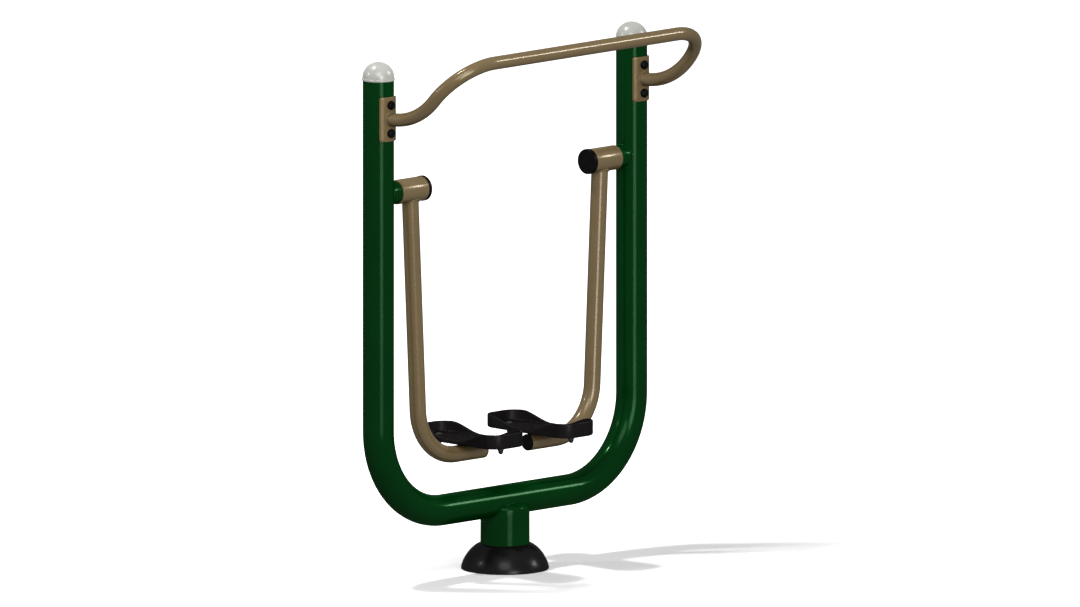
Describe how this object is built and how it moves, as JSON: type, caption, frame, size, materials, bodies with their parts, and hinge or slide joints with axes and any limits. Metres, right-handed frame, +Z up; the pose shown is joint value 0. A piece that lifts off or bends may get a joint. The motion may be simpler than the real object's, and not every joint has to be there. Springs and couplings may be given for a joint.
{
  "type": "outdoor air walker",
  "caption": "Free-standing park trainer: a U of green tube on one pedestal, a handlebar, and swing arms with foot pedals that stride back and forth.",
  "frame": {"origin": "centre of the base flange's underside, on the floor below the middle of the pedestal", "axes": "+Z up; +X from the left post to the right post, along the pivot axis; -Y to the front, where the handlebar stands out and the user looks"},
  "size_m": [1.109, 0.5123, 1.5471],
  "materials": {
    "green_enamel": "dark green gloss powder coat with fine orange peel",
    "tan_enamel": "tan semi-gloss powder coat with a faint metallic fleck",
    "cover_plastic": "black satin moulded plastic",
    "pedal_plastic": "black moulded pedal with a fine leather grain",
    "trim_plastic": "black satin push-in caps and plugs",
    "pearl_plastic": "pale grey glossy dome caps",
    "zinc_steel": "zinc plated fasteners",
    "black_zinc": "black zinc plated bolts and dome nuts",
    "bearing_steel": "ground bearing steel"
  },
  "bodies": {
    "frame": {"base_flange": "green_enamel", "pedestal": "green_enamel", "base_cover": "cover_plastic", "u_frame": "green_enamel", "handlebar": "tan_enamel", "left_post_cap": "pearl_plastic", "left_saddle_plate": "tan_enamel", "left_upper_plate_bolt": "zinc_steel", "left_lower_plate_bolt": "zinc_steel", "left_upper_bolt_cover": "trim_plastic", "left_lower_bolt_cover": "trim_plastic", "left_axle_boss": "green_enamel", "left_axle": "bearing_steel", "left_axle_nut": "zinc_steel", "left_outboard_inner_ring": "bearing_steel", "left_inboard_inner_ring": "bearing_steel", "left_lug_sleeve": "bearing_steel", "right_post_cap": "pearl_plastic", "right_saddle_plate": "tan_enamel", "right_upper_plate_bolt": "zinc_steel", "right_lower_plate_bolt": "zinc_steel", "right_upper_bolt_cover": "trim_plastic", "right_lower_bolt_cover": "trim_plastic", "right_axle_boss": "green_enamel", "right_axle": "bearing_steel", "right_axle_nut": "zinc_steel", "right_outboard_inner_ring": "bearing_steel", "right_inboard_inner_ring": "bearing_steel", "right_lug_sleeve": "bearing_steel"},
    "left_swing": {"left_bearing_housing": "tan_enamel", "left_housing_cap": "trim_plastic", "left_swing_arm": "tan_enamel", "left_arm_plug": "trim_plastic", "left_pedal_bracket": "tan_enamel", "left_foot_pedal": "pedal_plastic", "left_heel_pedal_bolt": "black_zinc", "left_toe_pedal_bolt": "black_zinc", "left_heel_pedal_nut": "black_zinc", "left_toe_pedal_nut": "black_zinc", "left_outboard_outer_ring": "bearing_steel", "left_inboard_outer_ring": "bearing_steel", "left_outboard_ball_cage": "bearing_steel", "left_inboard_ball_cage": "bearing_steel", "left_key_sleeve": "bearing_steel"},
    "right_swing": {"right_bearing_housing": "tan_enamel", "right_housing_cap": "trim_plastic", "right_swing_arm": "tan_enamel", "right_arm_plug": "trim_plastic", "right_pedal_bracket": "tan_enamel", "right_foot_pedal": "pedal_plastic", "right_heel_pedal_bolt": "black_zinc", "right_toe_pedal_bolt": "black_zinc", "right_heel_pedal_nut": "black_zinc", "right_toe_pedal_nut": "black_zinc", "right_outboard_outer_ring": "bearing_steel", "right_inboard_outer_ring": "bearing_steel", "right_outboard_ball_cage": "bearing_steel", "right_inboard_ball_cage": "bearing_steel", "right_key_sleeve": "bearing_steel"}
  },
  "joints": [
    {"name": "left_arm_swing", "type": "hinge", "parent": "frame", "child": "left_swing", "pos_m": [-0.38555, 0, 1.129], "axis": [1, 0, 0], "range_deg": [-60, 60]},
    {"name": "right_arm_swing", "type": "hinge", "parent": "frame", "child": "right_swing", "pos_m": [0.38555, 0, 1.129], "axis": [1, 0, 0], "range_deg": [-60, 60]}
  ]
}
